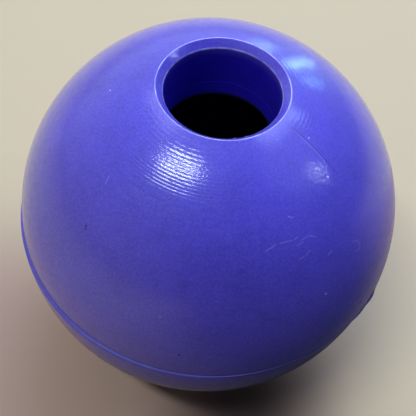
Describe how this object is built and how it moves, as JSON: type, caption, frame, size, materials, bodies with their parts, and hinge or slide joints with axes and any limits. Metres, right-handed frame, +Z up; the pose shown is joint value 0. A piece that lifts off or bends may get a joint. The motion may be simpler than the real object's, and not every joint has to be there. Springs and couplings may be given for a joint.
{
  "type": "juggling ball",
  "caption": "Hollow rubber juggling ball with an open chamfered round hole in its top and a cemented seam round its middle.",
  "frame": {"origin": "the ball's lowest point, where it touches the surface that it stands on, straight below the centre of the hole", "axes": "+Z up through the centre of the hole, which is the ball's axis of symmetry; X and Y level, in the plane of the seam"},
  "size_m": [0.0652, 0.0652, 0.0634],
  "materials": {
    "purple_rubber": "satin moulded rubber, coloured through, with fine turning marks round the hole",
    "seam_cement": "satin cured rubber cement, coloured to match"
  },
  "bodies": {
    "root": {"upper_half_shell": "purple_rubber", "lower_half_shell": "purple_rubber", "seam_bond": "seam_cement"}
  },
  "joints": []
}
